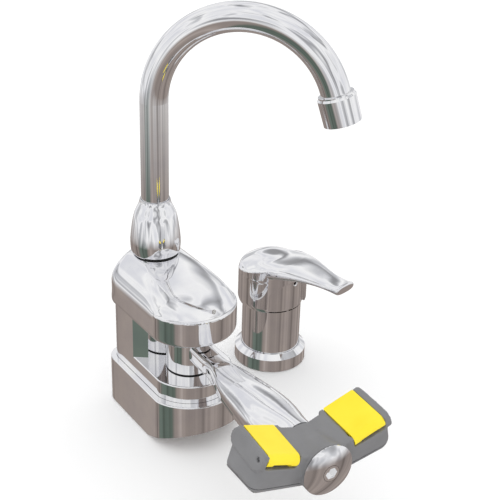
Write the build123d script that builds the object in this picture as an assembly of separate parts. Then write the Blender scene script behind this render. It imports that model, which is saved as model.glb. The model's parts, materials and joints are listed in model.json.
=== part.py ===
from build123d import *
import os
from math import copysign, cos, pi, radians, sin, sqrt, tan

# Deck faucet with a swing-out eyewash arm, and the lever mixer that feeds it.
# Millimetres. +Z is up, the front of the faucet is -Y, and the mixer stands at +X.
# The origin is the axis of the faucet's deck hole, at the top face of the deck.

# Deck and fixings
mixer_spacing = 101.6          # between the two deck holes
deck_grip = 14.0               # room for the deck between gasket and washer
gasket_thick = 2.0
flange_gap = 0.4               # the metal stops this far above the deck
assembly_gap = 0.2             # between pieces that slip over one another
swivel_gap = 0.1               # between flat faces that turn on one another
running_fit = 0.05             # radial clearance of a shaft in its bush

# Body and base flange, both D-shaped, with the round front about the swing axis
hub_forward = 45.5             # from the spout axis to the arm's swing axis
body_half_width = 28.8
body_front_radius = 29.7
body_back = 15.8               # behind the spout axis
body_corner = 10.8
base_half_width = 33.0
base_front_radius = 35.2
base_back = 20.0
base_corner = 15.0
base_top = 35.8
shoulder_round = 12.0          # where the straight sides meet the round front
edge_round = 0.9
bevel_angle = 22.0             # the front of the base is relieved underneath
tier_top = 48.8
wall_forward = 29.0            # flat back wall of the notch
wall_half_width = 23.0
wall_shoulder = 17.5           # where the column's sides start to turn inward
hood_bottom = 80.0
hood_crease = 99.6
hood_top = 116.6
hood_overhang = 2.5
hood_lip_round = 3.0

# Collar and spout
tube_radius = 9.525
tube_wall = 1.2
bush_wall = 1.15
socket_wall = 2.2
socket_bottom = 64.0
socket_top = 139.0
collar_seal_radius = 15.7
collar_seal_height = 0.9
collar_foot_radius = 17.0
collar_bulge_radius = 17.5
collar_top_radius = 10.6
collar_top = 157.0
tube_bottom = 90.0
arch_start = 226.2
arch_radius = 60.4
arch_sweep = 163.0
spout_turn = 42.5              # the spout is parked this far round towards the mixer
tip_straight = 9.0
aerator_radius = 12.4
aerator_neck_radius = 11.45
aerator_length = 19.0

# Swing hub and its valve
hub_radius = 16.0
hub_ring_thick = 0.7
stem_radius = 7.0
stem_bore = 4.0
stem_flange_radius = 11.0
stem_flange_thick = 3.0
pivot_radius = 5.0
pivot_length = 7.0
chamber_radius = 12.0
chamber_floor = 24.0
valve_disc_thick = 3.0
valve_key_angle = 20.0
arm_swing = 90.0
arm_most = 2.5                 # how far the parked arm can still turn towards the mixer
duct_radius = 4.0

# Eyewash arm
arm_turn = -2.5                # the arm is parked just short of straight ahead
arm_height = 66.6
neck_half_width = 7.6
neck_half_height = 6.5
arm_end = 180.0
arm_end_width = 13.6           # half-width, half-height and middle of the paddle's end
arm_end_height = 16.0
arm_end_middle = 67.8
arm_bore = 4.2
pipe_wall = 0.8
tenon_radius = 6.0
tenon_length = 8.0

# Eyewash head
disc_height = 70.0
disc_radius = 16.5
disc_thick = 3.4
barrel_front = 209.0
wing_back = 178.2
hollow_length = 22.0
head_front = 209.0
wing_reach = 14.4               # from the eye to the wing's outer end
head_corner = 8.0
head_edge = 6.0
head_lean = 10.6               # the front face leans back towards the deck
head_wall = 2.4
wing_slope = 18.5
wing_dip = 4.7                 # the wings also fall a little towards the front
under_slope = 14.0
under_middle = 57.0            # underside of the wing where it leaves the barrel
tray_depth = 4.6
eye_spacing = 57.2
eye_forward = 192.75
eye_height = 87.2
nozzle_radius = 8.5
nozzle_depth = 9.0
cover_width = 21.8
cover_length = 29.5
cover_thick = 2.2
cover_gap = 0.3
ear_thick = 4.4
ear_length = 32.5
ear_depth = 12.0
ear_round = 5.5
hinge_inset = 3.2              # the hinge axis lies this far behind the cover's front edge
hinge_drop = 1.6
hinge_pin_radius = 1.5
tab_width = 4.6
manifold_radius = 8.0
manifold_middle = 69.0
manifold_front = 205.6
branch_radius = 4.4
riser_shift = 5.4              # the risers lean outward with the wings
riser_foot = 17.0
disc_screw_radius = 2.5
screw_cap_radius = 5.2
disc_seat = 1.4
screw_radius = 1.6
screw_head_radius = 2.9
screw_post = 3.6
screw_top = 79.0

# Mixer
ring_radius = 27.3
ring_side = 10.0
ring_top = 13.4
mixer_radius = 22.3
mixer_top = 49.4
cartridge_radius = 17.5
cartridge_floor = 20.0
cartridge_top = 42.0
skirt_radius = 26.0
skirt_inner = 24.2             # at the back, where the skirt dips over the body
scoop_inner = 20.6
skirt_bottom = 50.4
skirt_top = 77.0
handle_pivot = 50.4
crown_height = 89.5
lever_turn = 13.0              # the lever is parked this far round from straight ahead
lever_reach = 69.0
lever_half_width = 9.5
lever_lip = 1.2
turret_radius = 7.4
cheek_gap = 3.5
tilt_pin_radius = 1.2
ball_radius = 3.3
stem_size = 3.2
stem_top = 79.0
slide_radius = 9.4
slide_offset = -2.6            # at rest the slide stands behind the axis
handle_cavity_top = 64.0
scoop_radius = 23.0
scoop_half = 17.0
scoop_rise = 11.5
scoop_shift = -3.0
set_screw_height = 72.0
set_screw_radius = 1.75

# Shanks below the deck
faucet_shank_radius = 13.0
mixer_shank_radius = 16.5
shank_length = 34.0
hose_thread_radius = 10.4
hose_thread_length = 18.0
nut_height = 7.0
washer_thick = 2.0
washer_rim = 7.0


def at(forward, x=0.0, z=0.0):
    """A place measured forward of the spout axis."""
    return Location((x, -forward, z))


def d_outline(half_width, front_radius, back, corner):
    """A straight back with round corners, straight sides and a round front."""
    reach = hub_forward + sqrt(front_radius ** 2 - half_width ** 2)
    nose = hub_forward + front_radius
    path = Polyline((half_width, -reach), (half_width, back), (-half_width, back), (-half_width, -reach))
    front = ThreePointArc((half_width, -reach), (0, -nose), (-half_width, -reach))
    face = make_face(path.edges() + front.edges())
    shoulders = face.vertices().filter_by(lambda v: v.Y < 0)
    face = fillet(shoulders, shoulder_round)
    rear = face.vertices().filter_by(lambda v: v.Y > 0)
    return fillet(rear, corner)


def body_outline(growth=0.0):
    """The body's outline, drawn larger or smaller by the same distance all round."""
    return d_outline(body_half_width + growth, body_front_radius + growth,
                     body_back + growth, body_corner + growth)


def prism(face, low, high):
    """A flat outline raised between two heights."""
    return extrude(Pos(0, 0, low) * face, high - low, dir=(0, 0, 1))


def rod(radius, low, high, forward=0.0, x=0.0):
    """An upright cylinder."""
    return at(forward, x, (low + high) / 2) * Cylinder(radius, high - low)


def ring(outer, inner, low, high, forward=0.0, x=0.0):
    """An upright tube or washer."""
    return rod(outer, low, high, forward, x) - rod(inner, low - 1, high + 1, forward, x)


def bar(radius, back, front, height, x=0.0):
    """A cylinder lying along the arm, between two distances forward of the spout axis."""
    return at((back + front) / 2, x, height) * Rot(90, 0, 0) * Cylinder(radius, front - back)


def turned(points, forward=0.0, x=0.0):
    """A solid of revolution about an upright axis, from its outline of radius and height."""
    face = make_face(Polyline(*[(r, 0, z) for r, z in points], close=True))
    return at(forward, x) * revolve(face, Axis.Z)


def rubber_ring(radius, section, height, forward=0.0):
    """An O-ring lying flat."""
    return at(forward, 0, height) * Torus(radius, section)


def pie(half_angle, height):
    """A wedge opening forward from an upright axis."""
    reach = 40.0
    side = reach * sin(radians(half_angle))
    ahead = -reach * cos(radians(half_angle))
    face = make_face(Polyline((0, 0), (side, ahead), (0, -2 * reach), (-side, ahead), close=True))
    return extrude(face, height, dir=(0, 0, 1))


def bevel(lift):
    """The wedge of air under the front of the base."""
    block = Box(200, 200, 100, align=(Align.CENTER, Align.MAX, Align.MAX))
    return at(hub_forward - 1, 0, lift) * Rot(-bevel_angle, 0, 0) * block


def save(node, shape):
    os.makedirs("parts", exist_ok=True)
    export_step(shape, f"parts/{node}.step")


# ---- faucet body ---------------------------------------------------------------------

bush_radius = tube_radius + running_fit + bush_wall
socket_bore = bush_radius + running_fit
socket_radius = socket_bore + socket_wall


def base_flange():
    """Plated skirt that slips over the foot of the body."""
    outline = d_outline(base_half_width, base_front_radius, base_back, base_corner)
    skirt = prism(outline, flange_gap, base_top)
    skirt = fillet(skirt.edges().group_by(Axis.Z)[-1], edge_round)
    skirt -= prism(body_outline(assembly_gap), flange_gap - 1, base_top + 1)
    return skirt - bevel(flange_gap)


def base_gasket():
    """Rubber sheet between the body and the deck, with a hole for the shank."""
    sheet = prism(body_outline(), 0, gasket_thick)
    sheet -= rod(faucet_shank_radius + assembly_gap, -1, gasket_thick + 1)
    front = Box(200, 200, 20, align=(Align.CENTER, Align.MAX, Align.CENTER))
    return sheet - at(hub_forward - 4) * front


def notch_cut():
    """The space in front of the column, above the tier that the hub stands on."""
    far = base_half_width + 10
    side = body_half_width
    outline = make_face(Polyline((far, -wall_shoulder), (side, -wall_shoulder),
                                 (wall_half_width, -wall_forward), (-wall_half_width, -wall_forward),
                                 (-side, -wall_shoulder), (-far, -wall_shoulder),
                                 (-far, -150), (far, -150), close=True))
    return prism(outline, tier_top, hood_bottom + 1)


def body_column():
    """Cast body: the foot, the tier under the hub, and the column behind it."""
    body = prism(body_outline(), gasket_thick, hood_bottom)
    body -= notch_cut()
    rim = body.edges().filter_by_position(Axis.Z, tier_top - 0.01, tier_top + 0.01)
    rim = rim.filter_by(lambda e: e.center().Y < -wall_forward or abs(e.center().X) > body_half_width - 0.1)
    body = fillet(rim, edge_round)
    body -= bevel(gasket_thick + 0.5)
    body -= rod(socket_radius, socket_bottom, hood_bottom + 1)
    body -= rod(duct_radius + 2, gasket_thick + 8, socket_bottom + 1)
    body -= rod(faucet_shank_radius - 2, gasket_thick - 1, gasket_thick + 10)
    body -= rod(chamber_radius, chamber_floor, tier_top + 1, hub_forward)
    body -= bar(duct_radius, 0, hub_forward, chamber_floor - duct_radius - 1)
    body -= rod(duct_radius, chamber_floor - 2 * duct_radius - 1, chamber_floor + 1, hub_forward)
    return body


def hood_section(up, spread):
    """One outline of the hood's top: the body's D at its crease, a circle at the collar."""
    half_width = body_half_width + hood_overhang
    radius = body_front_radius + hood_overhang
    back = body_back + hood_overhang
    seat = collar_foot_radius + 0.5
    z = hood_crease + up * (hood_top - hood_crease)

    def mix(outer, inner):
        return spread * outer + (1 - spread) * inner

    side = hub_forward + sqrt(radius ** 2 - half_width ** 2)
    right_front = (mix(half_width, seat * 0.8), -mix(side, seat * 0.6), z)
    right_back = (mix(half_width, seat * 0.8), mix(back - 6, seat * 0.6), z)
    left_front = (-right_front[0], right_front[1], z)
    left_back = (-right_back[0], right_back[1], z)
    front = ThreePointArc(right_front, (0, -mix(hub_forward + radius, seat), z), left_front)
    rear = ThreePointArc(left_back, (0, mix(back + 2, seat), z), right_back)
    return Face(Wire([front, Line(left_front, left_back), rear, Line(right_back, right_front)]))


def hood_cover():
    """Plated hood over the notch, falling from the collar to a round nose."""
    band = prism(body_outline(hood_overhang), hood_bottom, hood_crease)
    band = fillet(band.edges().group_by(Axis.Z)[0], hood_lip_round)
    steps = ((0.0, 0.97), (0.30, 0.84), (0.62, 0.60), (0.86, 0.30), (1.0, 0.0))
    hood = band + loft([hood_section(up, spread) for up, spread in steps])
    hood -= rod(socket_radius, hood_bottom - 1, hood_top + 1)
    hood -= rod(pivot_radius, hood_bottom - 1, hood_bottom + pivot_length, hub_forward)
    return hood


def spout_socket():
    """Brass nipple screwed into the body: the spout turns in it and the collar screws onto it."""
    socket = ring(socket_radius, socket_bore, socket_bottom, socket_top)
    socket -= rod(duct_radius + 2, socket_bottom - 1, socket_bottom + 3)
    floor = ring(socket_radius, duct_radius + 2, socket_bottom, socket_bottom + 2)
    return socket + floor


def spout_bush():
    """Bearing sleeve around the spout, with a flange that the collar holds down."""
    bore = tube_radius + running_fit
    sleeve = ring(bush_radius, bore, tube_bottom + 7, socket_top + 0.5)
    return sleeve + ring(socket_radius, bore, socket_top + 0.05, socket_top + 2)


def collar_seal():
    """Black ring between the hood and the collar."""
    return ring(collar_seal_radius, socket_radius + assembly_gap, hood_top, hood_top + collar_seal_height)


def collar_nut():
    """Bell-shaped nut that closes over the socket."""
    foot = hood_top + collar_seal_height
    rise = collar_top - foot
    outside = Spline((collar_foot_radius, 0, foot + 1), (collar_bulge_radius, 0, foot + 0.17 * rise),
                     (collar_foot_radius - 0.4, 0, foot + 0.45 * rise), (15.6, 0, foot + 0.61 * rise),
                     (13.9, 0, foot + 0.77 * rise), (collar_top_radius + 0.5, 0, foot + 0.93 * rise),
                     (collar_top_radius, 0, collar_top))
    thread = socket_radius + running_fit
    mouth = tube_radius + assembly_gap
    seat = socket_top + 2.1
    inside = Polyline((collar_top_radius, 0, collar_top), (mouth, 0, collar_top), (mouth, 0, seat),
                      (thread, 0, seat), (thread, 0, foot), (collar_foot_radius - 0.8, 0, foot),
                      (collar_foot_radius, 0, foot + 1))
    return revolve(make_face(outside.edges() + inside.edges()), Axis.Z)


def inlet_shank():
    """Threaded brass tail that passes through the deck and takes the supply hose."""
    shank = rod(faucet_shank_radius, -shank_length, gasket_thick)
    shank += rod(faucet_shank_radius - 2, gasket_thick - 0.5, gasket_thick + 9.8)
    shank += rod(hose_thread_radius, -shank_length - hose_thread_length, -shank_length)
    return shank - rod(duct_radius + 2, -shank_length - hose_thread_length - 1, gasket_thick + 11)


def deck_washer(radius, x=0.0):
    """Washer pressed against the underside of the deck."""
    top = -deck_grip
    return ring(radius + washer_rim, radius + assembly_gap, top - washer_thick, top, 0, x)


def deck_nut(radius, x=0.0):
    """Hexagon nut on the threaded shank."""
    top = -deck_grip - washer_thick
    flats = RegularPolygon(radius + washer_rim - 1, 6)
    nut = extrude(Pos(x, 0, top - nut_height) * flats, nut_height)
    return nut - rod(radius + running_fit, top - nut_height - 1, top + 1, 0, x)


save("base_gasket", base_gasket())
save("base_flange", base_flange())
save("body_column", body_column())
save("hood_cover", hood_cover())
save("spout_socket", spout_socket())
save("spout_bush", spout_bush())
save("collar_seal", collar_seal())
save("collar_nut", collar_nut())
save("inlet_shank", inlet_shank())
save("faucet_washer", deck_washer(faucet_shank_radius))
save("faucet_nut", deck_nut(faucet_shank_radius))


# ---- spout ---------------------------------------------------------------------------

foot_radius = socket_bore - running_fit
foot_bottom = tube_bottom - 20
foot_top = tube_bottom + 6.8
seal_section = 1.2
seal_heights = (tube_bottom - 14, tube_bottom - 7)
spout_heading = Rot(0, 0, spout_turn)


def arch_point(angle, beyond=0.0):
    """A point on the arch's centreline, and the way it runs there."""
    out = arch_radius * (1 - cos(radians(angle))) + beyond * sin(radians(angle))
    up = arch_start + arch_radius * sin(radians(angle)) + beyond * cos(radians(angle))
    return (0, -out, up), (0, -sin(radians(angle)), cos(radians(angle)))


def spout_path(end):
    """Centreline of the spout: up, over the arch and down to its tip."""
    tip, heading = arch_point(arch_sweep, end)
    over, _ = arch_point(arch_sweep / 2)
    down, _ = arch_point(arch_sweep)
    rise = Line((0, 0, tube_bottom), (0, 0, arch_start))
    return Wire([rise, ThreePointArc((0, 0, arch_start), over, down), Line(down, tip)])


def spout_tube():
    """Bent brass tube."""
    path = spout_path(tip_straight)
    start = Plane((0, 0, tube_bottom), z_dir=(0, 0, 1))
    wall = Circle(tube_radius) - Circle(tube_radius - tube_wall)
    return spout_heading * sweep(start * wall, path)


def spout_foot():
    """Grooved sleeve on the tube's lower end that carries two seals under the bush."""
    foot = ring(foot_radius, tube_radius - tube_wall - 1, foot_bottom, foot_top)
    foot -= rod(tube_radius, tube_bottom, foot_top + 1)
    for height in seal_heights:
        foot -= ring(foot_radius + 1, foot_radius - 2 * seal_section - 0.1, height - 1.4, height + 1.4)
    return foot


def spout_seals():
    """Two O-rings in the foot's grooves."""
    first, second = seal_heights
    radius = foot_radius + running_fit / 2 - seal_section
    return Compound([rubber_ring(radius, seal_section, first), rubber_ring(radius, seal_section, second)])


def tip_frame():
    """The end of the spout tube, with local Z pointing back up the tube."""
    tip, heading = arch_point(arch_sweep, tip_straight)
    back = (-heading[0], -heading[1], -heading[2])
    return spout_heading * Plane(tip, x_dir=(1, 0, 0), z_dir=back).location


def tip_ring(outer, inner, low, high):
    """A ring on the spout's tip, between two distances measured back up the tube."""
    return tip_frame() * ring(outer, inner, low, high)


def outlet_ring():
    """Threaded ring brazed onto the tube's end."""
    return tip_ring(aerator_neck_radius - 0.8, tube_radius, 0, 6.5)


def aerator_case():
    """Outlet housing that screws over the tube's end."""
    low = 8.0 - aerator_length
    bore = aerator_neck_radius - 0.75
    points = [(tube_radius + 0.1, 8.0), (aerator_neck_radius, 8.0), (aerator_neck_radius, 7.2),
              (aerator_radius, 5.8), (aerator_radius - 0.2, low), (bore - 1.0, low),
              (bore - 1.0, low + 2), (bore, low + 2), (bore, 6.7), (tube_radius + 0.1, 6.7)]
    return tip_frame() * turned(points)


def aerator_insert():
    """Plastic insert with a grid of holes that breaks up the flow."""
    low = 8.0 - aerator_length + 2.05
    radius = aerator_neck_radius - 0.8
    insert = rod(radius, low, -2.0) - rod(radius - 2, low + 2, -1.0)
    for count, pitch in ((1, 0.0), (6, 3.1), (12, 6.2)):
        for step in range(count):
            angle = 2 * pi * step / count
            insert -= Pos(pitch * cos(angle), pitch * sin(angle), low + 1) * Cylinder(0.9, 4)
    return tip_frame() * insert


def aerator_washer():
    """Rubber washer between the tube's end and the insert."""
    return tip_ring(aerator_neck_radius - 0.9, 7.5, -1.9, -0.1)


save("spout_tube", spout_tube())
save("spout_foot", spout_foot())
save("spout_seals", spout_seals())
save("outlet_ring", outlet_ring())
save("aerator_case", aerator_case())
save("aerator_insert", aerator_insert())
save("aerator_washer", aerator_washer())


# ---- rotary valve under the hub --------------------------------------------------------

fixed_disc_top = chamber_floor + valve_disc_thick
turning_disc_bottom = fixed_disc_top + swivel_gap
turning_disc_top = turning_disc_bottom + valve_disc_thick
flange_top = turning_disc_top + stem_flange_thick
key_top = flange_top + 4
gland_bottom = flange_top + swivel_gap
hub_bottom = tier_top + hub_ring_thick + 2 * swivel_gap
hub_top = hood_bottom - hub_ring_thick - 2 * swivel_gap
park = at(hub_forward) * Rot(0, 0, arm_turn) * at(-hub_forward)


def valve_fixed_disc():
    """Ceramic disc on the chamber floor, with one port."""
    disc = rod(chamber_radius - running_fit, chamber_floor, fixed_disc_top, hub_forward)
    return disc - rod(duct_radius, chamber_floor - 1, fixed_disc_top + 1, hub_forward)


def valve_turning_disc():
    """Ceramic disc that the stem turns over the port."""
    disc = rod(stem_flange_radius, turning_disc_bottom, turning_disc_top, hub_forward)
    return disc - rod(duct_radius, turning_disc_bottom - 1, turning_disc_top + 1, hub_forward)


def valve_stem():
    """Hollow stem with a flange and a stop key, driven round by the hub."""
    stem = rod(stem_radius, turning_disc_top, hub_bottom + 8, hub_forward)
    stem += rod(stem_flange_radius, turning_disc_top, flange_top, hub_forward)
    key = rod(stem_flange_radius, flange_top - 1, key_top, hub_forward)
    key = key & at(hub_forward, 0, flange_top - 1) * pie(valve_key_angle / 2, key_top - flange_top + 1)
    stem += key
    stem -= rod(stem_bore, turning_disc_top - 1, hub_bottom + 9, hub_forward)
    for height in seal_levels:
        groove = ring(stem_radius + 1, stem_radius - 1.5, height - 1.0, height + 1.0, hub_forward)
        stem -= groove
    return park * stem


seal_levels = (key_top + 4, key_top + 8)


def stem_seals():
    """Two O-rings on the valve stem."""
    section = 0.8
    radius = stem_radius + running_fit / 2 - section
    low, high = seal_levels
    return Compound([rubber_ring(radius, section, low, hub_forward),
                     rubber_ring(radius, section, high, hub_forward)])


def valve_gland():
    """Screwed-in gland that guides the stem, with a pocket that stops its key."""
    gland = ring(chamber_radius - running_fit, stem_radius + running_fit,
                 gland_bottom, tier_top - 0.1, hub_forward)
    half = (arm_swing + valve_key_angle + 1) / 2
    pocket_turn = arm_turn + arm_most - arm_swing / 2
    pocket = rod(stem_flange_radius + 0.3, gland_bottom - 1, key_top + 0.3, hub_forward)
    keep = at(hub_forward, 0, gland_bottom - 1) * Rot(0, 0, pocket_turn) * pie(half, key_top + 2 - gland_bottom)
    return gland - (pocket & keep)


def hub_rings():
    """Two black thrust rings, at the foot and the top of the hub."""
    low = ring(hub_radius - 0.2, stem_radius + 1.0, tier_top + swivel_gap, hub_bottom - swivel_gap, hub_forward)
    high = ring(hub_radius - 0.2, stem_radius + 1.0, hub_top + swivel_gap, hood_bottom - swivel_gap,
                hub_forward)
    return Compound([low, high])


def swing_hub():
    """Upright hub that carries the arm and passes the water across to it."""
    hub = rod(hub_radius, hub_bottom, hub_top, hub_forward)
    hub -= rod(stem_radius, hub_bottom - 1, hub_bottom + 8.05, hub_forward)
    hub -= rod(stem_bore, hub_bottom - 1, arm_height, hub_forward)
    hub -= rod(pivot_radius + running_fit, hub_top - 4.6, hub_top + 1, hub_forward)
    hub -= bar(arm_bore, hub_forward, hub_forward + hub_radius + 1, arm_height)
    hub -= bar(tenon_radius, hub_forward + hub_radius - tenon_length - 0.1, hub_forward + hub_radius + 1,
               arm_height)
    return park * hub


def top_pivot():
    """Pin fixed in the hood that steadies the top of the hub."""
    return rod(pivot_radius, hub_top - 4.5, hood_bottom + pivot_length - 0.1, hub_forward)


save("valve_fixed_disc", valve_fixed_disc())
save("valve_turning_disc", valve_turning_disc())
save("valve_stem", valve_stem())
save("stem_seals", stem_seals())
save("valve_gland", valve_gland())
save("hub_rings", hub_rings())
save("swing_hub", swing_hub())
save("top_pivot", top_pivot())


# ---- eyewash arm -----------------------------------------------------------------------

arm_face = hub_forward + hub_radius
spigot_radius = 6.6
spigot_length = 14.0


def oval(forward, half_width, half_height, height, squareness):
    """A closed cross-section across the arm, from an ellipse (2) towards a rectangle (6)."""
    points = []
    for step in range(24):
        side = cos(2 * pi * step / 24)
        lift = sin(2 * pi * step / 24)
        x = half_width * copysign(abs(side) ** (2 / squareness), side)
        z = height + half_height * copysign(abs(lift) ** (2 / squareness), lift)
        points.append((x, -forward, z))
    return Face(Wire([Spline(points, periodic=True)]))


def arm_casting():
    """Plated arm: a squarish neck that swells into a long smooth paddle."""
    neck_height = arm_height - 0.6
    neck = oval(arm_face + 16, neck_half_width, neck_half_height, neck_height, 4)
    arm = loft([oval(arm_face - 2, neck_half_width, neck_half_height, neck_height, 4), neck], ruled=True)
    arm += loft([neck,
                 oval(arm_face + 31, 9.8, 7.6, arm_height, 3),
                 oval(arm_face + 43, 12.8, 9.4, arm_height, 2.5),
                 oval(arm_face + 59, 15.0, 12.4, arm_height, 2.2),
                 oval(arm_face + 79, 16.8, 14.9, arm_height + 0.2, 2.1),
                 oval(arm_face + 99, 15.7, 15.7, arm_height + 0.6, 2),
                 oval(arm_end, arm_end_width, arm_end_height, arm_end_middle, 2)])
    arm -= rod(hub_radius + 0.02, 0, 100, hub_forward)
    arm += bar(tenon_radius - 0.02, arm_face - tenon_length, arm_face + 2, arm_height)
    arm -= bar(arm_bore, arm_face - tenon_length - 1, arm_end + 1, arm_height)
    arm -= bar(spigot_radius + running_fit, arm_end - spigot_length, arm_end + 1, arm_height)
    return park * arm


def arm_pipe():
    """Water pipe through the arm, from the hub to the eyewash head."""
    outer = arm_bore - assembly_gap
    back = arm_face - tenon_length - 1
    front = arm_end - spigot_length - 0.5
    return park * (bar(outer, back, front, arm_height) - bar(outer - pipe_wall, back - 1, front + 1, arm_height))


save("arm_casting", arm_casting())
save("arm_pipe", arm_pipe())


# ---- eyewash head ----------------------------------------------------------------------

# the wing's own frame: X outward along the wing, -Y to its front, Z square to its top
wing = at(eye_forward, eye_spacing / 2, eye_height) * Rot(0, -wing_slope, 0) * Rot(wing_dip, 0, 0)
cover_top = cover_gap + cover_thick
hinge_y = hinge_inset - cover_length / 2
hinge_radius = cover_top + hinge_drop
recess_half = cover_width / 2 + assembly_gap
branch_height = 71.0
branch_forward = eye_forward + 1
screw_places = ((38.0, 181.5), (42.0, 199.5))


def mirrored(shape):
    """The same piece for the left-hand eye."""
    return mirror(shape, Plane.YZ)


def pair(shape):
    """A piece for the right-hand eye and its mirror image for the left, parked with the arm."""
    return Compound([park * shape, park * mirrored(shape)])


def hinge_rod(radius, low, high):
    """A cylinder on the cover's hinge axis, in the wing's frame."""
    return Pos((low + high) / 2, hinge_y, -hinge_drop) * Rot(0, 90, 0) * Cylinder(radius, high - low)


def barrel():
    """Round middle of the head, running from the arm's end to the disc."""
    return loft([oval(arm_end + 0.2, arm_end_width, arm_end_height, arm_end_middle, 2),
                 oval(barrel_front, disc_radius, disc_radius, disc_height, 2)])


def wing_body(inset, back, front, top):
    """Right half of the head without its barrel, shrunk all round by an inset."""
    start = disc_radius * 0.75
    low = under_middle + inset
    rise = 60 * tan(radians(under_slope))
    side = make_face(Polyline((0, 0, low), (start, 0, low), (start + 60, 0, low + rise),
                              (start + 60, 0, 120), (0, 0, 120), close=True))
    block = at(back) * extrude(side, front - back, dir=(0, -1, 0))
    lid = wing * Pos(wing_reach - inset, 0, top) * Box(200, 200, 90, align=(Align.MAX, Align.CENTER, Align.MAX))
    block = block & lid
    corner = block.edges().sort_by(lambda e: e.center().X)[-1]
    return fillet(corner, head_corner - inset)


def ear_block():
    """Raised rim outside the cover, which holds the outer end of the hinge pin."""
    ear = Pos(recess_half, ear_length / 2 - cover_length / 2 - 1, cover_top) * Box(
        ear_thick, ear_length, ear_depth, align=(Align.MIN, Align.CENTER, Align.MAX))
    return wing * fillet(ear.edges().filter_by(Axis.X), ear_round)


def head_solid():
    """Outside of the whole head, before it is hollowed and split."""
    half = wing_body(0, wing_back, head_front + 5, cover_top)
    front = Box(200, 60, 200, align=(Align.CENTER, Align.MAX, Align.CENTER))
    half -= at(head_front, 0, eye_height) * Rot(head_lean, 0, 0) * front
    half = fillet(half.edges().sort_by(lambda e: e.center().X - e.center().Y)[-1], head_edge)
    half += ear_block()
    floor = Box(2 * recess_half, 200, 30, align=(Align.CENTER, Align.CENTER, Align.MIN))
    recess = floor + hinge_rod(hinge_radius + cover_gap, -recess_half, recess_half)
    recess += Pos(0, hinge_y, -hinge_drop - hinge_radius - cover_gap) * Box(
        2 * recess_half, 60, 30, align=(Align.CENTER, Align.MAX, Align.MIN))
    half -= wing * recess
    head = half + mirrored(half) + barrel()
    head -= bar(disc_radius + cover_gap, barrel_front, barrel_front + 20, disc_height)
    stop = Pos(0, -arm_end - 0.2, disc_height) * Box(2 * arm_end_width + 1.2, 60, 80,
                                                     align=(Align.CENTER, Align.MIN, Align.CENTER))
    return head - stop


def head_hollow():
    """Space inside the head for the pipework."""
    half = wing_body(head_wall, wing_back + head_wall, wing_back + head_wall + hollow_length, -head_wall)
    space = half + mirrored(half)
    for x, forward in screw_places:
        for side in (-1, 1):
            space -= rod(screw_post, 50, 95, forward, side * x)
    return space - Pos(0, -arm_end - 2.5, disc_height) * Box(2 * arm_end_width + 6, 60, 80,
                                                             align=(Align.CENTER, Align.MIN, Align.CENTER))


def tray_space(depth):
    """Everything below the line where the two halves of the head meet."""
    start = disc_radius * 0.75
    low = under_middle + depth
    run = 80.0
    line = make_face(Polyline((-start - run, 0, low + run * tan(radians(under_slope))), (-start, 0, low),
                              (start, 0, low), (start + run, 0, low + run * tan(radians(under_slope))),
                              (start + run, 0, 0), (-start - run, 0, 0), close=True))
    return at(150) * extrude(line, 80, dir=(0, -1, 0))


def head_cuts():
    """Holes through both halves: the arm's spigot, the eyes, the hinge pins and the disc's screw."""
    cuts = bar(spigot_radius + assembly_gap, arm_end - 5, arm_end + 6, arm_height)
    cuts += bar(manifold_radius + assembly_gap, arm_end + 2, manifold_front + 0.1, manifold_middle)
    cuts += bar(disc_screw_radius + assembly_gap, manifold_front - 1, barrel_front + 1, disc_height)
    eye = Pos(0, 0, -nozzle_depth - assembly_gap) * Cylinder(
        nozzle_radius + assembly_gap, 30, align=(Align.CENTER, Align.CENTER, Align.MIN))
    pin = hinge_rod(hinge_pin_radius + 0.02, -recess_half - 4.5, 40)
    branch = Pos(0, -branch_forward, branch_height) * Rot(0, 90, 0) * Cylinder(
        branch_radius + assembly_gap, 40, align=(Align.CENTER, Align.CENTER, Align.MIN))
    side = wing * (eye + pin) + branch
    return cuts + side + mirrored(side)


def screw_seat(x):
    """Height of a screw head's seat in the tray."""
    return under_middle + (x - disc_radius * 0.75) * tan(radians(under_slope)) + 2.4


def screw_holes(shape, radius, extra, top):
    """Cuts the four screw holes and the recesses for their heads."""
    for x, forward in screw_places:
        for side in (-1, 1):
            shape -= rod(radius, 0, top, forward, side * x)
            shape -= rod(screw_head_radius + extra, 0, screw_seat(x), forward, side * x)
    return shape


def head_top():
    """Upper moulding: the wings, the ears of the cover hinges and most of the barrel."""
    top = head_solid() - head_hollow()
    top -= head_cuts()
    top -= tray_space(tray_depth + 0.1)
    return park * screw_holes(top, screw_radius - 0.1, 0, screw_top)


def head_tray():
    """Lower moulding: a shallow tray screwed on from below."""
    tray = (head_solid() - head_hollow()) & tray_space(tray_depth)
    tray -= head_cuts()
    return park * screw_holes(tray, screw_radius + 0.1, 0.2, 90)


def head_screws():
    """Four screws from the tray into the upper moulding."""
    screws = []
    for x, forward in screw_places:
        seat = screw_seat(x)
        for side in (-1, 1):
            screw = rod(screw_radius - 0.12, seat - 1, screw_top - 1, forward, side * x)
            screw += rod(screw_head_radius, seat - 1.8, seat, forward, side * x)
            screw -= at(forward, side * x, seat - 1.8) * Box(0.8, 4, 1.6)
            screws.append(park * screw)
    return Compound(screws)


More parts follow.
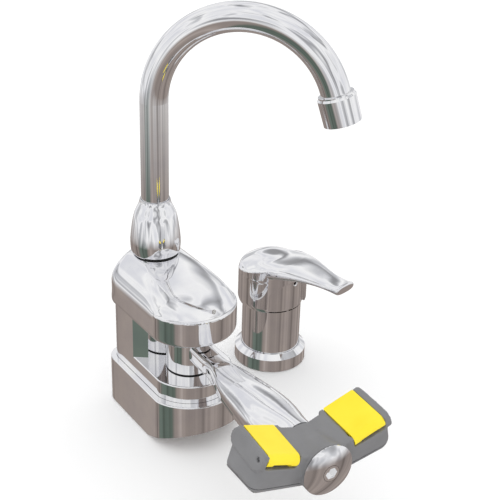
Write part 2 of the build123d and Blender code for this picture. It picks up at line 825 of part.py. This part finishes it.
def manifold():
    """Brass tee that carries the water from the arm to both eyes."""
    body = bar(manifold_radius, arm_end + 2.2, manifold_front, manifold_middle)
    body += bar(spigot_radius, arm_end - spigot_length + 0.1, arm_end + 3, arm_height)
    reach = 2 * (eye_spacing / 2 + riser_shift)
    body += Pos(0, -branch_forward, branch_height) * Rot(0, 90, 0) * Cylinder(branch_radius, reach)
    riser = wing * Pos(0, 0, -riser_foot) * Cylinder(branch_radius, riser_foot - nozzle_depth - 0.1,
                                                     align=(Align.CENTER, Align.CENTER, Align.MIN))
    body += riser + mirrored(riser)
    body -= bar(duct_radius, arm_end - spigot_length - 1, eye_forward + 2, arm_height)
    body -= Pos(0, -branch_forward, branch_height) * Rot(0, 90, 0) * Cylinder(branch_radius - 1.4, reach - 3)
    bore = wing * Pos(0, 0, -riser_foot) * Cylinder(branch_radius - 1.4, riser_foot,
                                                    align=(Align.CENTER, Align.CENTER, Align.MIN))
    body -= bore + mirrored(bore)
    body -= bar(disc_screw_radius, eye_forward + 4, manifold_front + 1, disc_height)
    return park * body


def spray_cups():
    """Two outlet cups with perforated tops for the soft spray."""
    top = -0.2
    cup = Pos(0, 0, -nozzle_depth) * Cylinder(nozzle_radius, nozzle_depth + top,
                                              align=(Align.CENTER, Align.CENTER, Align.MIN))
    cup -= Pos(0, 0, -nozzle_depth + 1.5) * Cylinder(nozzle_radius - 1.5, nozzle_depth - 3.2,
                                                     align=(Align.CENTER, Align.CENTER, Align.MIN))
    cup -= Pos(0, 0, -nozzle_depth - 1) * Cylinder(branch_radius - 1.4, 4,
                                                   align=(Align.CENTER, Align.CENTER, Align.MIN))
    for count, pitch in ((1, 0.0), (6, 2.6), (12, 5.2)):
        for step in range(count):
            angle = 2 * pi * step / count
            cup -= Pos(pitch * cos(angle), pitch * sin(angle), top - 1) * Cylinder(0.7, 4)
    return pair(wing * cup)


def flow_screens():
    """Two filter discs inside the cups."""
    disc = Pos(0, 0, -nozzle_depth + 3) * Cylinder(nozzle_radius - 1.6, 2.4,
                                                   align=(Align.CENTER, Align.CENTER, Align.MIN))
    return pair(wing * disc)


def hinge_pins():
    """Steel pins of the two dust covers."""
    return pair(wing * hinge_rod(hinge_pin_radius, -recess_half - 4.4, recess_half + ear_thick - 1.4))


def dust_cover():
    """Dust cover of the right eye: a flat lid that wraps round its hinge, with a knuckle at each end."""
    lid = Pos(0, hinge_y, cover_gap) * Box(cover_width, cover_length - hinge_inset, cover_thick,
                                           align=(Align.CENTER, Align.MIN, Align.MIN))
    lid = fillet(lid.edges().filter_by(Axis.Z).group_by(Axis.Y)[-1], 1.0)
    half = cover_width / 2
    wrap = hinge_rod(hinge_radius, -half, half) - hinge_rod(hinge_radius - cover_thick, -half - 1, half + 1)
    wrap -= Pos(0, hinge_y, -hinge_drop - 1.2) * Box(50, 40, 40, align=(Align.CENTER, Align.CENTER, Align.MAX))
    wrap -= Pos(0, hinge_y, 0) * Box(50, 40, 40, align=(Align.CENTER, Align.MIN, Align.CENTER))
    lid += wrap
    for low in (-half, half - tab_width):
        lid += hinge_rod(hinge_radius, low, low + tab_width)
    lid -= hinge_rod(hinge_pin_radius + running_fit, -half - 1, half + 1)
    return wing * lid


def end_disc():
    """Domed plated disc that closes the front of the barrel."""
    edge = 1.6
    dome = ThreePointArc((0, 0, disc_thick + 0.9), (disc_radius * 0.55, 0, disc_thick + 0.3),
                         (disc_radius, 0, edge))
    rim = Polyline((disc_radius, 0, edge), (disc_radius, 0, 0), (0, 0, 0), (0, 0, disc_thick + 0.9))
    disc = revolve(make_face(dome.edges() + rim.edges()), Axis.Z)
    disc -= Cylinder(disc_screw_radius + assembly_gap, 20)
    disc -= Pos(0, 0, disc_seat) * Cylinder(screw_cap_radius + assembly_gap, 10,
                                            align=(Align.CENTER, Align.CENTER, Align.MIN))
    return park * (at(barrel_front + 0.1, 0, disc_height) * Rot(90, 0, 0) * disc)


def disc_screw():
    """Socket screw that clamps the disc and the head onto the manifold."""
    seat = barrel_front + 0.1 + disc_seat
    screw = bar(disc_screw_radius - 0.02, eye_forward + 5, seat + 1, disc_height)
    screw += bar(screw_cap_radius, seat, seat + 2.6, disc_height)
    socket = extrude(RegularPolygon(3.9, 6), 4)
    return park * (screw - at(seat + 0.1, 0, disc_height) * Rot(90, 0, 0) * socket)


save("head_top", head_top())
save("head_tray", head_tray())
save("head_screws", head_screws())
save("manifold", manifold())
save("spray_cups", spray_cups())
save("flow_screens", flow_screens())
save("hinge_pins", hinge_pins())
save("right_cover", park * dust_cover())
save("left_cover", park * mirrored(dust_cover()))
save("end_disc", end_disc())
save("disc_screw", disc_screw())


# ---- mixer -----------------------------------------------------------------------------

case_bore = 15.2
ceramic_bottom = cartridge_floor + 4
slide_bottom = ceramic_bottom + 3.05 + swivel_gap
ball_height = slide_bottom + 6.8
port_places = ((-7.5, 5.0), (7.5, 5.0), (0.0, -8.5))
lever_heading = at(0, mixer_spacing) * Rot(0, 0, lever_turn)


def drilled(shape, radius, low, high):
    """The mixer's three waterways cut through a piece."""
    for x, forward in port_places:
        shape -= rod(radius, low, high, forward, mixer_spacing + x)
    return shape


def mixer_gasket():
    """Rubber ring under the mixer."""
    return ring(mixer_radius - 0.2, mixer_shank_radius + assembly_gap, 0, gasket_thick, 0, mixer_spacing)


def mixer_ring():
    """Plated ring with a sloping top that covers the gasket."""
    inner = mixer_radius + assembly_gap
    return turned([(inner, flange_gap), (ring_radius, flange_gap), (ring_radius, ring_side),
                   (inner + 1.0, ring_top), (inner, ring_top)], 0, mixer_spacing)


def mixer_body():
    """Cast and plated body with its threaded shank and the cartridge's chamber."""
    body = rod(mixer_radius, gasket_thick, mixer_top, 0, mixer_spacing)
    body += rod(mixer_shank_radius, -shank_length, gasket_thick + 1, 0, mixer_spacing)
    body -= rod(cartridge_radius + 0.1, cartridge_floor, mixer_top + 1, 0, mixer_spacing)
    body -= rod(cartridge_radius + 2, cartridge_top - 1, mixer_top + 1, 0, mixer_spacing)
    return drilled(body, duct_radius, -shank_length - 1, cartridge_floor + 1)


def cartridge_case():
    """Plastic case of the cartridge."""
    case = rod(cartridge_radius, cartridge_floor, cartridge_top, 0, mixer_spacing)
    case -= rod(case_bore, ceramic_bottom, cartridge_top - 2.4, 0, mixer_spacing)
    case -= rod(turret_radius + 0.3, ceramic_bottom, cartridge_top + 1, 0, mixer_spacing)
    return drilled(case, duct_radius - 0.6, cartridge_floor - 1, ceramic_bottom + 1)


def cartridge_nut():
    """Screwed ring that holds the cartridge down."""
    return ring(cartridge_radius + 1.95, turret_radius + 2.5, cartridge_top + 0.05, mixer_top - 0.3,
                0, mixer_spacing)


def mixing_fixed_disc():
    """Ceramic disc with the hot, cold and mixed ports."""
    disc = rod(case_bore - 0.1, ceramic_bottom, ceramic_bottom + 3.05, 0, mixer_spacing)
    return drilled(disc, duct_radius - 1, ceramic_bottom - 1, ceramic_bottom + 4)


def mixing_slide():
    """Ceramic slide and its driver, pushed along by the ball on the lever's stem."""
    slide = rod(slide_radius, slide_bottom, slide_bottom + 9.4, slide_offset, 0)
    slide -= rod(5.0, slide_bottom - 1, slide_bottom + 1.6, slide_offset, 0)
    slide -= rod(ball_radius + 0.2, slide_bottom + 3.0, slide_bottom + 10, 0, 0)
    return lever_heading * slide


def turning_carrier():
    """Carrier that turns with the lever, with two cheeks that hold the tilt pin."""
    low = slide_bottom + 9.5
    carrier = rod(case_bore - 0.15, low, cartridge_top - 2.5) + rod(turret_radius, low, handle_pivot + 3.4)
    slot = Box(2 * cheek_gap, 13.5, 60, align=(Align.CENTER, Align.MAX, Align.CENTER))
    carrier -= Pos(0, 4.6, handle_pivot) * slot
    carrier -= Pos(0, 0, handle_pivot) * Rot(0, 90, 0) * Cylinder(tilt_pin_radius + 0.02, 40)
    return lever_heading * carrier


def tilt_pin():
    """Pin that the lever's stem rocks on."""
    pin = Pos(0, 0, handle_pivot) * Rot(0, 90, 0) * Cylinder(tilt_pin_radius, 2 * turret_radius - 0.6)
    return lever_heading * pin


def lever_stem():
    """Stem that rocks on the pin, with a ball at its foot that pushes the slide."""
    stem = rod(stem_size, ball_height + 9, stem_top) + rod(stem_size - 1.1, ball_height, ball_height + 10)
    stem += Pos(0, 0, ball_height) * Sphere(ball_radius)
    stem -= Pos(0, 0, handle_pivot) * Rot(0, 90, 0) * Cylinder(tilt_pin_radius + running_fit, 40)
    return lever_heading * stem


def lever_section(reach, half_width, low, high):
    """Cross-section of the lever at a distance from the mixer's axis: flat below, crowned above."""
    points = []
    for step in range(20):
        side = cos(2 * pi * step / 20)
        lift = sin(2 * pi * step / 20)
        x = half_width * copysign(abs(side) ** 0.7, side)
        z = (low + high) / 2 + (high - low) / 2 * copysign(abs(lift) ** 0.8, lift)
        points.append((x, -reach, z))
    return Face(Wire([Spline(points, periodic=True)]))


def mixer_handle():
    """Plated cap with its lever, hollow underneath, with a scoop for the set screw."""
    shoulder = (crown_height - skirt_top) * 0.55 + skirt_top
    side = Line((0, 0, skirt_bottom), (0, 0, crown_height))
    crown = Spline((0, 0, crown_height), (11, 0, crown_height - 0.8), (20.5, 0, shoulder),
                   (skirt_radius, 0, skirt_top - 3), tangents=((1, 0, 0), (0, 0, -1)))
    skirt = Polyline((skirt_radius, 0, skirt_top - 3), (skirt_radius, 0, skirt_bottom + 3),
                     (skirt_radius - 1.0, 0, skirt_bottom), (0, 0, skirt_bottom))
    cap = revolve(make_face(side.edges() + crown.edges() + skirt.edges()), Axis.Z)
    lever = loft([lever_section(-6, 17.5, crown_height - 14, crown_height - 2.0),
                  lever_section(10, 22.5, crown_height - 13, crown_height - 0.5),
                  lever_section(24, 20.0, crown_height - 10.5, crown_height + 0.5),
                  lever_section(38, 15.0, crown_height - 8, crown_height - 0.4),
                  lever_section(54, lever_half_width + 1.3, crown_height - 7, crown_height - 2.0),
                  lever_section(lever_reach, lever_half_width + 0.5, crown_height - 8, crown_height - 0.5)])
    lever = fillet(lever.faces().sort_by(Axis.Y)[0].edges(), lever_lip)
    cap -= rod(scoop_inner, skirt_bottom - 1, handle_cavity_top - 4)
    back = Pos(0, 0, skirt_bottom) * Box(80, 40, 60, align=(Align.CENTER, Align.MIN, Align.CENTER))
    cap -= rod(skirt_inner, skirt_bottom - 1, handle_cavity_top - 5) & back
    scoop = ring(skirt_radius + 3, scoop_radius, skirt_bottom - 1, skirt_top - 1)
    arch = at(0, scoop_shift, skirt_bottom - 1) * Rot(90, 0, 0) * extrude(
        Rectangle(2 * scoop_half, 14, align=(Align.CENTER, Align.MIN))
        + Pos(0, 14) * Ellipse(scoop_half, scoop_rise), 40)
    handle = cap + lever - (scoop & arch)
    handle -= rod(stem_size + 0.02, handle_cavity_top - 5, stem_top + 0.5)
    handle -= Pos(0, 0, set_screw_height) * Rot(90, 0, 0) * Cylinder(
        set_screw_radius, 40, align=(Align.CENTER, Align.CENTER, Align.MIN))
    return lever_heading * handle


def set_screw():
    """Socket set screw that grips the stem."""
    screw = Rot(90, 0, 0) * Cylinder(set_screw_radius - 0.02, scoop_radius - stem_size - 3,
                                     align=(Align.CENTER, Align.CENTER, Align.MIN))
    screw = Pos(0, -stem_size - 0.1, set_screw_height) * screw
    socket = Pos(0, -scoop_radius + 5, set_screw_height) * Rot(90, 0, 0) * extrude(RegularPolygon(1.0, 6), 10)
    return lever_heading * (screw - socket)


save("mixer_gasket", mixer_gasket())
save("mixer_ring", mixer_ring())
save("mixer_body", mixer_body())
save("mixer_washer", deck_washer(mixer_shank_radius, mixer_spacing))
save("mixer_nut", deck_nut(mixer_shank_radius, mixer_spacing))
save("cartridge_case", cartridge_case())
save("cartridge_nut", cartridge_nut())
save("mixing_fixed_disc", mixing_fixed_disc())
save("mixing_slide", mixing_slide())
save("turning_carrier", turning_carrier())
save("tilt_pin", tilt_pin())
save("lever_stem", lever_stem())
save("mixer_handle", mixer_handle())
save("set_screw", set_screw())
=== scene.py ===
import bpy
import json
from math import cos, hypot, radians, sin, sqrt
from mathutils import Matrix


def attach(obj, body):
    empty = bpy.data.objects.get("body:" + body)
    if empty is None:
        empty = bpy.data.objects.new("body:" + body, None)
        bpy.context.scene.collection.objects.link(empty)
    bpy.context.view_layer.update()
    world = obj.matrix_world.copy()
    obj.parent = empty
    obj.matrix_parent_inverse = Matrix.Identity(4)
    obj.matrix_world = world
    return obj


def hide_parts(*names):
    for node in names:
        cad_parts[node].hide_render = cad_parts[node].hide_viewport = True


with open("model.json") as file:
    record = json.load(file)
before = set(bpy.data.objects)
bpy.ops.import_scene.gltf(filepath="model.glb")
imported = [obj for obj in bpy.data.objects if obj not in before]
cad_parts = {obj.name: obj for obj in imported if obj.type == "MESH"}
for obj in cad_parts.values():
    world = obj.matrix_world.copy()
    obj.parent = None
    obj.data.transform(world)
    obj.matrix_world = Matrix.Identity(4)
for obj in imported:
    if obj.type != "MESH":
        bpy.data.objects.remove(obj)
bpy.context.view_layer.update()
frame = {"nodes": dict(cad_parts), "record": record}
nodes = frame["nodes"]
scene = bpy.context.scene


# The setting: the fitting stands on a plain pale surface in a bright room. The polished metal
# mirrors the room around it, so the surface underneath is kept out of its reflections.
def linear(hex_colour):
    """An sRGB hex colour as linear RGBA."""
    parts = [int(hex_colour[i:i + 2], 16) / 255 for i in (1, 3, 5)]
    return [p / 12.92 if p <= 0.04045 else ((p + 0.055) / 1.055) ** 2.4 for p in parts] + [1.0]


def node(tree, kind, inputs=None, **settings):
    """Adds a shader node, sets its values and links its inputs."""
    made = tree.nodes.new(kind)
    for name, value in settings.items():
        setattr(made, name, value)
    for name, value in (inputs or {}).items():
        socket = made.inputs[name]
        if isinstance(value, bpy.types.NodeSocket):
            tree.links.new(value, socket)
        else:
            socket.default_value = value
    return made


def new_material(name):
    """An empty material and its tree."""
    material = bpy.data.materials.new(name)
    material.use_nodes = True
    material.node_tree.nodes.clear()
    return material, material.node_tree


def bands(tree, factor, stops):
    """A colour ramp from a list of positions and hex colours."""
    ramp = node(tree, "ShaderNodeValToRGB", {"Fac": factor})
    points = ramp.color_ramp.elements
    while len(points) < len(stops):
        points.new(1.0)
    for point, (place, colour) in zip(points, stops):
        point.position = place
        point.color = linear(colour)
    return ramp.outputs["Color"]


bpy.ops.object.select_all(action="DESELECT")
bpy.ops.mesh.primitive_plane_add(size=8, location=(0, 0, -0.0002))
floor = bpy.context.object
floor.name = "pale_floor"
floor.visible_glossy = False
paint, tree = new_material("pale_matt_paint")
surface = node(tree, "ShaderNodeBsdfPrincipled",
               {"Base Color": linear("#ffffff"), "Roughness": 0.9, "Specular IOR Level": 0.1})
node(tree, "ShaderNodeOutputMaterial", {"Surface": surface.outputs[0]})
floor.data.materials.append(paint)

# The room as the chrome sees it, by direction: pale walls and ceiling with soft grey panels above
# eye level, a taupe floor with upright streaks and one dark green strip to the left below it.
scene.view_settings.view_transform = "Standard"
world = bpy.data.worlds.new("bright_room")
scene.world = world
world.use_nodes = True
tree = world.node_tree
tree.nodes.clear()
place = node(tree, "ShaderNodeTexCoord").outputs["Generated"]
split = node(tree, "ShaderNodeSeparateXYZ", {"Vector": place})
turn = node(tree, "ShaderNodeMath", {0: split.outputs["Y"], 1: split.outputs["X"]}, operation="ARCTAN2")
around = node(tree, "ShaderNodeMapRange",
              {"Value": turn.outputs[0], "From Min": radians(-180), "From Max": radians(180)})
streaks = node(tree, "ShaderNodeTexNoise", {"W": around.outputs[0], "Scale": 14.0, "Detail": 2.0},
               noise_dimensions="1D")
taupe = bands(tree, streaks.outputs[0], [(0.28, "#756c67"), (0.42, "#8f8580"), (0.55, "#9c918b"), (0.7, "#b5aaa4")])
shadow = bands(tree, around.outputs[0], [(0.0, "#94b0aa"), (0.055, "#9ab6b0"), (0.075, "#ffffff"),
                                         (0.925, "#ffffff"), (0.955, "#a2bcb6"), (1.0, "#94b0aa")])
strip = node(tree, "ShaderNodeMixRGB", {"Fac": 1.0, "Color1": taupe, "Color2": shadow}, blend_type="MULTIPLY")
panels = node(tree, "ShaderNodeTexNoise", {"Vector": place, "Scale": 2.1, "Detail": 1.5, "Distortion": 0.8})
walls = bands(tree, panels.outputs[0], [(0.30, "#9a9a9c"), (0.42, "#d2d3d6"), (0.5, "#ffffff"), (0.66, "#e9eaee")])
rise = node(tree, "ShaderNodeMapRange", {"Value": split.outputs["Z"], "From Min": -0.42, "From Max": -0.22})
room = node(tree, "ShaderNodeMixRGB", {"Fac": rise.outputs[0], "Color1": strip.outputs[0], "Color2": walls})
mirror_light = node(tree, "ShaderNodeBackground", {"Color": room.outputs[0], "Strength": 1.0})
soft_light = node(tree, "ShaderNodeBackground", {"Color": linear("#ffffff"), "Strength": 1.12})
ray = node(tree, "ShaderNodeLightPath")
glossy = node(tree, "ShaderNodeMixShader", {"Fac": ray.outputs["Is Glossy Ray"]})
tree.links.new(soft_light.outputs[0], glossy.inputs[1])
tree.links.new(mirror_light.outputs[0], glossy.inputs[2])
node(tree, "ShaderNodeOutputWorld", {"Surface": glossy.outputs[0]})

camera_data = bpy.data.cameras.new("camera")
camera_data.lens = 78.91
camera_data.sensor_width = 36
camera_data.shift_x = 0.1385
camera = bpy.data.objects.new("camera", camera_data)
scene.collection.objects.link(camera)
camera.location = (-0.3343, -0.5955, 0.4613)
camera.rotation_euler = (radians(63.26), 0, radians(-30.78))
scene.camera = camera


# Base flange, body column, collar nut, aerator case and the other plated castings: brass, ground and
# buffed to a mirror, then chromed. Buffing leaves a faint haze and the lightest waviness.
def plated(name, dark, light, haze, wave, size):
    """Metal surface: two shades, roughness, and the height and size of its waves in mm."""
    material, tree = new_material(name)
    place = node(tree, "ShaderNodeTexCoord").outputs["Object"]
    cloud = node(tree, "ShaderNodeTexNoise", {"Vector": place, "Scale": 1000 / size, "Detail": 2.0})
    tint = bands(tree, cloud.outputs[0], [(0.3, dark), (0.7, light)])
    rough = node(tree, "ShaderNodeMapRange",
                 {"Value": cloud.outputs[0], "To Min": haze * 0.7, "To Max": haze * 1.5})
    bump = node(tree, "ShaderNodeBump",
                {"Height": cloud.outputs[0], "Strength": 0.25, "Distance": wave / 1000})
    surface = node(tree, "ShaderNodeBsdfPrincipled",
                   {"Base Color": tint, "Metallic": 1.0, "Roughness": rough.outputs[0],
                    "Normal": bump.outputs[0]})
    node(tree, "ShaderNodeOutputMaterial", {"Surface": surface.outputs[0]})
    return material


def coat(material, *names):
    """Gives CAD nodes their material."""
    for name in names:
        nodes[name].data.materials.clear()
        nodes[name].data.materials.append(material)


chrome = plated("chrome_plate", "#e9e9ec", "#f2f2f2", 0.035, 0.02, 14.0)
for part in frame["record"]["subparts"]:
    if part["material_slot"] == "chrome_plate":
        coat(chrome, part["node"])


# Hood: a chromed casting over the hub. Its long side edges are rounded over in the buffing, while
# the nose keeps a crisp line, so the casting's own shape is softened only along the sides.
def reshaped(name, body, material, voxel, regions, added=()):
    """A finer copy of a CAD piece, with solids added to it, softened where a test of place says so."""
    mesh = nodes[name].data.copy()
    mesh.transform(nodes[name].matrix_world)
    piece = bpy.data.objects.new(name + "_casting", mesh)
    scene.collection.objects.link(piece)
    bpy.ops.object.select_all(action="DESELECT")
    for extra in added:
        extra.select_set(True)
    piece.select_set(True)
    bpy.context.view_layer.objects.active = piece
    if added:
        bpy.ops.object.join()
    bpy.ops.object.mode_set(mode="EDIT")
    bpy.ops.mesh.select_all(action="SELECT")
    bpy.ops.mesh.remove_doubles(threshold=0.00001)
    bpy.ops.object.mode_set(mode="OBJECT")
    remesh = piece.modifiers.new("remesh", "REMESH")
    remesh.mode = "VOXEL"
    remesh.voxel_size = voxel
    bpy.ops.object.modifier_apply(modifier="remesh")
    for test, repeat in regions:
        bpy.ops.object.mode_set(mode="EDIT")
        bpy.ops.mesh.select_mode(type="VERT")
        bpy.ops.mesh.select_all(action="DESELECT")
        bpy.ops.object.mode_set(mode="OBJECT")
        for vertex in piece.data.vertices:
            vertex.select = test(*vertex.co)
        bpy.ops.object.mode_set(mode="EDIT")
        bpy.ops.mesh.vertices_smooth(factor=0.5, repeat=repeat)
        bpy.ops.object.mode_set(mode="OBJECT")
    bpy.ops.object.shade_smooth_by_angle(angle=radians(35))
    piece.data.materials.clear()
    piece.data.materials.append(material)
    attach(piece, body)
    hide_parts(name)


def everywhere(x, y, z):
    """The whole piece, for taking off its sharp edges."""
    return True


def hood_sides(x, y, z):
    """The hood's long edges and the back one, above its lower band."""
    return z > 0.086 and y > -0.052 and (abs(x) > 0.019 or y > 0.006)


reshaped("hood_cover", "faucet_body", chrome, 0.0006, [(hood_sides, 160), (everywhere, 2)])


# Handle: a zinc die casting, plated. The cap's dome runs into the lever as one smooth sheet, and
# its rim rises towards the lever like a brow over the scoop.
def cap_top(x, y, z):
    """The top of the cap inside its rim, clear of the bore for the stem."""
    off_axis = hypot(x - mixer_axis, y)
    return z > 0.0768 and off_axis < 0.0235 and (off_axis > 0.0065 or z > 0.084)


mixer_axis = 0.1016
cap_radius = 0.026
brow_foot = 0.0765
brow_height = 0.02
rim_height = 0.0823
rim_rise = radians(15.3)
heading = radians(13)
slope = (-sin(rim_rise) * sin(heading), sin(rim_rise) * cos(heading), cos(rim_rise))
bpy.ops.object.select_all(action="DESELECT")
bpy.ops.mesh.primitive_cylinder_add(vertices=128, radius=cap_radius, depth=brow_height,
                                    location=(mixer_axis, 0, brow_foot + brow_height / 2))
brow = bpy.context.object
bpy.ops.object.transform_apply(location=True, rotation=True, scale=True)
bpy.ops.object.mode_set(mode="EDIT")
bpy.ops.mesh.select_all(action="SELECT")
bpy.ops.mesh.bisect(plane_co=(mixer_axis, 0, rim_height), plane_no=slope, use_fill=True,
                    clear_outer=True)
bpy.ops.object.mode_set(mode="OBJECT")
reshaped("mixer_handle", "mixer_lever", chrome, 0.0005, [(cap_top, 60), (everywhere, 3)], [brow])


# Eyewash head: two mouldings in grey ABS with a fine spark-eroded grain. The wings grow out of the
# round middle with a wide soft blend.
def moulded(name, dark, light, rough, grain, relief):
    """Moulded or cast surface: two shades, roughness, and the size and depth of its grain in mm."""
    material, tree = new_material(name)
    place = node(tree, "ShaderNodeTexCoord").outputs["Object"]
    cloud = node(tree, "ShaderNodeTexNoise", {"Vector": place, "Scale": 60.0, "Detail": 3.0})
    tint = bands(tree, cloud.outputs[0], [(0.3, dark), (0.7, light)])
    fine = node(tree, "ShaderNodeTexNoise", {"Vector": place, "Scale": 1000 / grain, "Detail": 2.0})
    bump = node(tree, "ShaderNodeBump",
                {"Height": fine.outputs[0], "Strength": 0.5, "Distance": relief / 1000})
    surface = node(tree, "ShaderNodeBsdfPrincipled",
                   {"Base Color": tint, "Roughness": rough, "Normal": bump.outputs[0]})
    node(tree, "ShaderNodeOutputMaterial", {"Surface": surface.outputs[0]})
    return material


def wing_root(x, y, z):
    """Where the wings grow out of the head's round middle, which is parked 2.5 degrees round."""
    across = x + 0.0436 * (-y - 0.0455)
    return abs(across) < 0.0195 and z > 0.068 and -0.2065 < y < -0.183


grey = moulded("grey_abs", "#79797b", "#818183", 0.5, 0.5, 0.03)
coat(grey, "head_tray")
reshaped("head_top", "eyewash_arm", grey, 0.0006, [(wing_root, 60), (everywhere, 2)])

# Dust covers: polypropylene flaps moulded in safety yellow.
yellow = moulded("yellow_polypropylene", "#fde21c", "#ffe92c", 0.42, 0.6, 0.02)
coat(yellow, "left_cover", "right_cover")

# End disc: a plated brass pressing, domed all the way to a thin rim, with a well for its screw.
# It is drawn out ring by ring from the edge of the well and set on the front of the parked head.
disc_radius = 0.0165
well_radius = 0.0054
rim = 0.0008
rim_chamfer = 0.0004
dome_height = 0.0043
dome_rise = dome_height - rim
dome_curve = (disc_radius ** 2 + dome_rise ** 2) / (2 * dome_rise)
bpy.ops.object.select_all(action="DESELECT")
bpy.ops.mesh.primitive_circle_add(vertices=96, radius=well_radius, fill_type="NOTHING")
disc = bpy.context.object
disc.name = "domed_disc"
bpy.ops.object.mode_set(mode="EDIT")
bpy.ops.mesh.select_all(action="SELECT")
profile = [(disc_radius - rim_chamfer, 0.0), (disc_radius, rim_chamfer), (disc_radius, rim)]
for step in range(1, 17):
    radius = disc_radius + (well_radius - disc_radius) * step / 16
    profile.append((radius, dome_height - dome_curve + sqrt(dome_curve ** 2 - radius ** 2)))
profile.append((well_radius, 0.0))
last_radius, last_height = well_radius, 0.0
for radius, height in profile:
    bpy.ops.mesh.extrude_region_move(TRANSFORM_OT_translate={"value": (0, 0, height - last_height)})
    size = radius / last_radius
    bpy.ops.transform.resize(value=(size, size, 1), center_override=(0, 0, height))
    last_radius, last_height = radius, height
bpy.ops.mesh.select_all(action="SELECT")
bpy.ops.mesh.remove_doubles(threshold=0.00001)
bpy.ops.mesh.normals_make_consistent(inside=False)
bpy.ops.object.mode_set(mode="OBJECT")
parked = radians(-2.5)
reach = 0.1636
disc.rotation_euler = (radians(90), 0, parked)
disc.location = (reach * sin(parked), -0.0455 - reach * cos(parked), 0.070)
bpy.ops.object.transform_apply(location=True, rotation=True, scale=True)
bpy.ops.object.shade_smooth_by_angle(angle=radians(35))
disc.data.materials.append(chrome)
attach(disc, "eyewash_arm")
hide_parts("end_disc")
coat(chrome, "disc_screw")

# Everything inside and below the deck: machined brass, stainless and blackened steel, nitrile
# seals, acetal and polyethylene mouldings, ceramic discs and foam, each with its own fine texture.
inner = {
    "brass": plated("machined_brass", "#b98f45", "#cfa85c", 0.28, 0.03, 2.0),
    "steel": plated("stainless_steel", "#a6a6a8", "#bcbcbe", 0.25, 0.02, 1.5),
    "black_steel": plated("blackened_steel", "#141415", "#242426", 0.35, 0.02, 1.5),
    "black_rubber": moulded("black_nitrile_rubber", "#090909", "#131313", 0.65, 0.4, 0.02),
    "white_plastic": moulded("white_acetal", "#dededa", "#efefea", 0.4, 0.6, 0.02),
    "foam": moulded("open_cell_foam", "#2b2b2d", "#4a4a4c", 0.95, 1.2, 0.6),
    "pipe_plastic": moulded("natural_polyethylene", "#d8d9d6", "#e8e9e6", 0.45, 0.8, 0.02),
    "ceramic": moulded("alumina_ceramic", "#ecebe4", "#f7f6f1", 0.2, 0.3, 0.004),
}
for part in frame["record"]["subparts"]:
    if part["material_slot"] in inner and part["node"] != "disc_screw":
        coat(inner[part["material_slot"]], part["node"])

# The fixings below the deck can't be seen from above it, so they stay out of the mirrored room.
for name in ("inlet_shank", "faucet_washer", "faucet_nut", "mixer_washer", "mixer_nut"):
    nodes[name].visible_glossy = False
